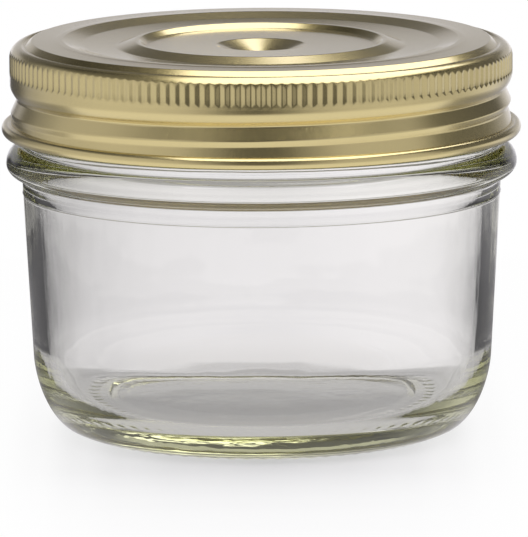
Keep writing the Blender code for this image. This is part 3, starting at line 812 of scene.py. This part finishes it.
def capsule_rings(seal):
    """The capsule's rings: over its top side and back along its underside."""
    foot = seal.sink_radius - 0.8 * MM
    bottom = seal.panel_top - seal.sheet
    channel = seal.capsule_top - seal.sheet
    lip = channel - seal.lip
    over = rounded([(0.0, seal.panel_top, 0.0), (foot - seal.sheet, seal.panel_top, 0.6 * MM),
                    (seal.sink_radius - seal.sheet, seal.capsule_top, 0.9 * MM),
                    (seal.capsule_radius, seal.capsule_top, 0.3 * MM),
                    (seal.capsule_radius, lip, 0.0)], 6)
    under = rounded([(seal.capsule_radius - seal.sheet, lip, 0.0),
                     (seal.capsule_radius - seal.sheet, channel, 0.2 * MM),
                     (seal.sink_radius, channel, 0.6 * MM), (foot, bottom, 0.9 * MM),
                     (0.0, bottom, 0.0)], 6)
    return marked((over + under, seal.sides, PLAIN))


def compound_rings(seal):
    """The compound's closed section, a flat ring with soft corners."""
    soft = 0.3 * MM
    across = seal.compound_width / 2 - soft
    low = seal.compound_bottom + soft
    high = seal.compound_bottom + seal.compound_thickness - soft
    section = []
    for start, side, height in ((90.0, 1, high), (0.0, 1, low), (-90.0, -1, low),
                                (180.0, -1, high)):
        section += arc((seal.compound_middle + side * across, height), (soft, soft),
                       start, start - 90.0, 5)
    return marked((section, seal.sides, PLAIN))


# The pieces

def dressed(piece, body, node):
    """Sets a finished piece on its CAD body in the place of its node."""
    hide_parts(node)
    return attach(piece, body)


def make_glass(settings):
    """The glass jar."""
    glass = settings.glass
    blank = lathe("glass_jar", glass_rings(glass))
    values = {**values_of(glass, ("thread", "stipple")), "ripple": glass.ripple,
              "ripple_scale": 1.0 / glass.ripple_size,
              "stipple_radius": glass.body_radius - glass.body_taper - glass.heel_inset}
    formed(blank, glass_form_tree, values, clear_glass(settings.finish))
    return dressed(blank, "jar", "jar")


def make_cap(settings):
    """The screw cap."""
    cap, finish = settings.cap, settings.finish
    blank = lathe("gold_screw_cap", cap_rings(cap))
    formed(blank, cap_press_tree, values_of(cap, ("thread", "groove", "flute", "radius")),
           lacquered_sheet("gold_lacquer", finish.gold, finish.gold_roughness))
    return dressed(blank, "cap", "screw_cap")


def make_capsule(settings):
    """The sealing capsule."""
    piece = lathe("tinplate_sealing_capsule", capsule_rings(settings.seal))
    finish = settings.finish
    piece.data.materials.append(
        lacquered_sheet("capsule_lacquer", finish.capsule, finish.capsule_roughness))
    return dressed(piece, "capsule", "sealing_capsule")


def make_compound(settings):
    """The ring of sealing compound."""
    piece = lathe("sealing_compound_ring", compound_rings(settings.seal), closed=True)
    piece.data.materials.append(sealing_compound(settings.finish))
    return dressed(piece, "capsule", "sealing_compound")


# The stage

def level_ramp(value, stops):
    """A smooth grey ramp from (place, level) stops."""
    node = fill(value.socket.id_data.nodes.new("ShaderNodeValToRGB"), {0: value})
    band = node.color_ramp
    band.interpolation = "EASE"
    band.elements[0].position = stops[0][0]
    band.elements[1].position = stops[-1][0]
    for place, _ in stops[1:-1]:
        band.elements.new(place)
    for element, (_, level) in zip(band.elements, stops):
        element.color = (level, level, level, 1.0)
    return Wire(node.outputs[0])


def across_ramp(value, span, stops):
    """A smooth grey ramp that is a span wide, with its middle at 0."""
    return level_ramp(value.math("MULTIPLY_ADD", 1.0 / span, 0.5), stops)


def studio_ring(x, y, levels):
    """What stands round the jar, by direction: degrees from the front, right hand positive."""
    turn = x.math("ARCTAN2", y * -1.0)
    return across_ramp(turn, 2 * math.pi, [(0.5 + place / TURN, level) for place, level in levels])


def ray_kinds(tree):
    """Shares of camera rays, refracted rays, rays turned back inside glass, and mirrored rays."""
    path = tree.nodes.new("ShaderNodeLightPath").outputs
    camera, through, glossy, depth = [Wire(path[name]) for name in (
        "Is Camera Ray", "Is Transmission Ray", "Is Glossy Ray", "Glossy Depth")]
    inner = through * depth.math("GREATER_THAN", 0.5)
    return camera, through - inner, inner, glossy * (1.0 - through)


def table_finish(finish):
    """Pale table top that keeps part of the jar's shadow under a painted white glow and runs out
    into the white ground.
    """
    made, tree, shader, output = new_material("pale_table")
    fill(shader, {"Base Color": (*finish.table, 1.0), "Roughness": 0.6,
                  "Specular IOR Level": 0.2})
    x, y, _, far = added(tree, "ShaderNodeTexCoord", {}, "Object").parts()
    camera, through, inner, mirrored = ray_kinds(tree)

    # seen by the camera: the real shadow close to the jar, lightened by painted white glow, and
    # white ground further off
    # these tables set how much painted white glow lies over the real shadow
    beside = level_ramp(x.math("ABSOLUTE") / NEAR_SPAN, GLOW_OVER_SHADOW_BESIDE)
    ahead = level_ramp(y / -NEAR_SPAN, GLOW_OVER_SHADOW_AHEAD)
    ground = (1.0 - (1.0 - beside) * (1.0 - ahead)).top(far.rise(*SHADOW_EDGE))

    # painted levels that the table glows with, seen through the glass, after a turn inside it, and
    # mirrored in gold or glass
    # a painted shadow under the jar and painted shade towards the left, for rays through the glass
    behind = level_ramp(far / NEAR_SPAN, PAINTED_SHADOW_UNDER_JAR)
    behind = behind * across_ramp(x, TABLE_SPAN, PAINTED_SHADE_ACROSS_TABLE)
    turned = level_ramp(far / TABLE_SPAN, PAINTED_SHADE_TURNED_BACK)
    # painted reflections for mirrored rays: set levels near the jar, the studio ring further off
    painted_reflection = far.rise(*RING_EDGE).between(across_ramp(y, NEAR_SPAN, PAINTED_REFLECTION_NEAR_TABLE),
                                          studio_ring(x, y, RING))
    level = camera + through * behind + inner * turned + mirrored * painted_reflection
    share = camera * ground + through + inner + mirrored * far.rise(*MIRRORED_EDGE)
    glow = added(tree, "ShaderNodeEmission", {
        "Strength": level, "Color": toned(tree, camera, LIGHT_TINT, EVEN)})
    both = added(tree, "ShaderNodeMixShader", {0: share, 1: Wire(shader.outputs[0]), 2: glow})
    fill(output, {"Surface": both})
    return made


def make_table(settings):
    """The round table top."""
    mesh = bpy.data.meshes.new("table_top")
    shape = bmesh.new()
    bmesh.ops.create_circle(shape, cap_ends=True, segments=96,
                            radius=settings.studio.table_radius)
    shape.to_mesh(mesh)
    shape.free()
    table = bpy.data.objects.new("table_top", mesh)
    bpy.context.scene.collection.objects.link(table)
    mesh.materials.append(table_finish(settings.finish))
    return table


def make_surroundings(settings):
    """The studio round the jar: a ring at its height, dim walls and a soft box over it."""
    world = bpy.data.worlds.new("studio")
    bpy.context.scene.world = world
    world.use_nodes = True
    tree = world.node_tree
    tree.nodes.clear()
    x, y, z, _ = added(tree, "ShaderNodeTexCoord", {}, "Generated").parts()
    camera, through, _, _ = ray_kinds(tree)

    low = studio_ring(x, y, RING).top(through * across_ramp(x, 2.0, SEEN_THROUGH))
    side_wall = level_ramp(z, SIDE_FADE) * studio_ring(x, y, SIDE_WALL)
    from_back = x.math("ABSOLUTE").math("ARCTAN2", y).math("DEGREES")
    walls = from_back.rise(*BACK_EDGE).between(level_ramp(z, BACK_WALL), side_wall)
    ground = z.rise(*WALL_FOOT).between(low, walls)

    above = z.top(BOX_FOOT)
    across, along = x / above, y / above
    slant, middle, width = BOX_LEFT
    box = z.math("GREATER_THAN", BOX_FOOT) * across.rise(along * slant + middle, width)
    for slope, edge in zip((across * -1.0, along, along * -1.0), BOX_SIDES):
        box = box * slope.rise(*edge)
    level = camera.between(box.between(ground, settings.studio.key), WHITE)
    sky = added(tree, "ShaderNodeBackground", {"Strength": level, "Color": (*LIGHT_TINT, 1.0)})
    fill(tree.nodes.new("ShaderNodeOutputWorld"), {0: sky})
    return world


def make_camera(studio):
    """The camera at the photograph's angle."""
    lens = bpy.data.cameras.new("camera")
    lens.sensor_width = 36.0
    lens.lens = studio.focal / MM
    lens.clip_start, lens.clip_end = 0.05, 50.0
    camera = bpy.data.objects.new("camera", lens)
    bpy.context.scene.collection.objects.link(camera)
    rise, roll = math.radians(studio.elevation), math.radians(studio.roll)
    back = Vector((0.0, -math.cos(rise), math.sin(rise)))
    side = Vector((1.0, 0.0, 0.0))
    up = back.cross(side)
    across = math.cos(roll) * side + math.sin(roll) * up
    upward = math.cos(roll) * up - math.sin(roll) * side
    place = Vector((studio.aim_x, 0.0, studio.aim_z)) + back * studio.distance
    turned = Matrix((across, upward, back)).transposed().to_4x4()
    camera.matrix_world = Matrix.Translation(place) @ turned
    bpy.context.scene.camera = camera
    return camera


def make_stage(settings):
    """Table, surroundings and camera."""
    make_table(settings)
    make_surroundings(settings)
    make_camera(settings.studio)
    bpy.context.scene.view_settings.view_transform = "Standard"
    # light that runs along inside the thick heel is followed until it leaves the glass
    for limit in ("max_bounces", "glossy_bounces", "transmission_bounces"):
        setattr(bpy.context.scene.cycles, limit, LIGHT_BOUNCES)


# Operators, panel and registration

class JAR_OT_glass(bpy.types.Operator):
    """Makes the glass jar."""
    bl_idname = "canning_jar.make_glass"
    bl_label = "Glass jar"

    def execute(self, context):
        make_glass(context.scene.canning_jar)
        return {"FINISHED"}


class JAR_OT_cap(bpy.types.Operator):
    """Makes the gold screw cap."""
    bl_idname = "canning_jar.make_cap"
    bl_label = "Screw cap"

    def execute(self, context):
        make_cap(context.scene.canning_jar)
        return {"FINISHED"}


class JAR_OT_seal(bpy.types.Operator):
    """Makes the sealing capsule and its compound."""
    bl_idname = "canning_jar.make_seal"
    bl_label = "Sealing capsule and compound"

    def execute(self, context):
        make_capsule(context.scene.canning_jar)
        make_compound(context.scene.canning_jar)
        return {"FINISHED"}


class JAR_OT_stage(bpy.types.Operator):
    """Makes the table, the studio light and the camera."""
    bl_idname = "canning_jar.make_stage"
    bl_label = "Stage"

    def execute(self, context):
        make_stage(context.scene.canning_jar)
        return {"FINISHED"}


class JAR_PT_panel(bpy.types.Panel):
    """Shows the operators and the settings."""
    bl_idname = "JAR_PT_panel"
    bl_label = "Canning jar"
    bl_space_type = "VIEW_3D"
    bl_region_type = "UI"
    bl_category = "Jar"

    def draw(self, context):
        settings = context.scene.canning_jar
        for operator, group in (("make_glass", settings.glass), ("make_cap", settings.cap),
                                ("make_seal", settings.seal), ("make_stage", settings.studio)):
            box = self.layout.box()
            box.operator("canning_jar." + operator)
            for name in group.__annotations__:
                box.prop(group, name)
        box = self.layout.box()
        for name in settings.finish.__annotations__:
            box.prop(settings.finish, name)


CLASSES = (JarGlassSettings, CapSettings, SealSettings, FinishSettings, StudioSettings,
           CanningJarSettings, JAR_OT_glass, JAR_OT_cap, JAR_OT_seal, JAR_OT_stage,
           JAR_PT_panel)


def register():
    """Registers the classes and the settings."""
    for made in CLASSES:
        bpy.utils.register_class(made)
    bpy.types.Scene.canning_jar = PointerProperty(type=CanningJarSettings)


def unregister():
    """Takes the classes and the settings out again."""
    del bpy.types.Scene.canning_jar
    for made in reversed(CLASSES):
        bpy.utils.unregister_class(made)


def main():
    """Makes everything in order."""
    register()
    bpy.ops.canning_jar.make_glass()
    bpy.ops.canning_jar.make_cap()
    bpy.ops.canning_jar.make_seal()
    bpy.ops.canning_jar.make_stage()


if __name__ == "__main__":
    main()
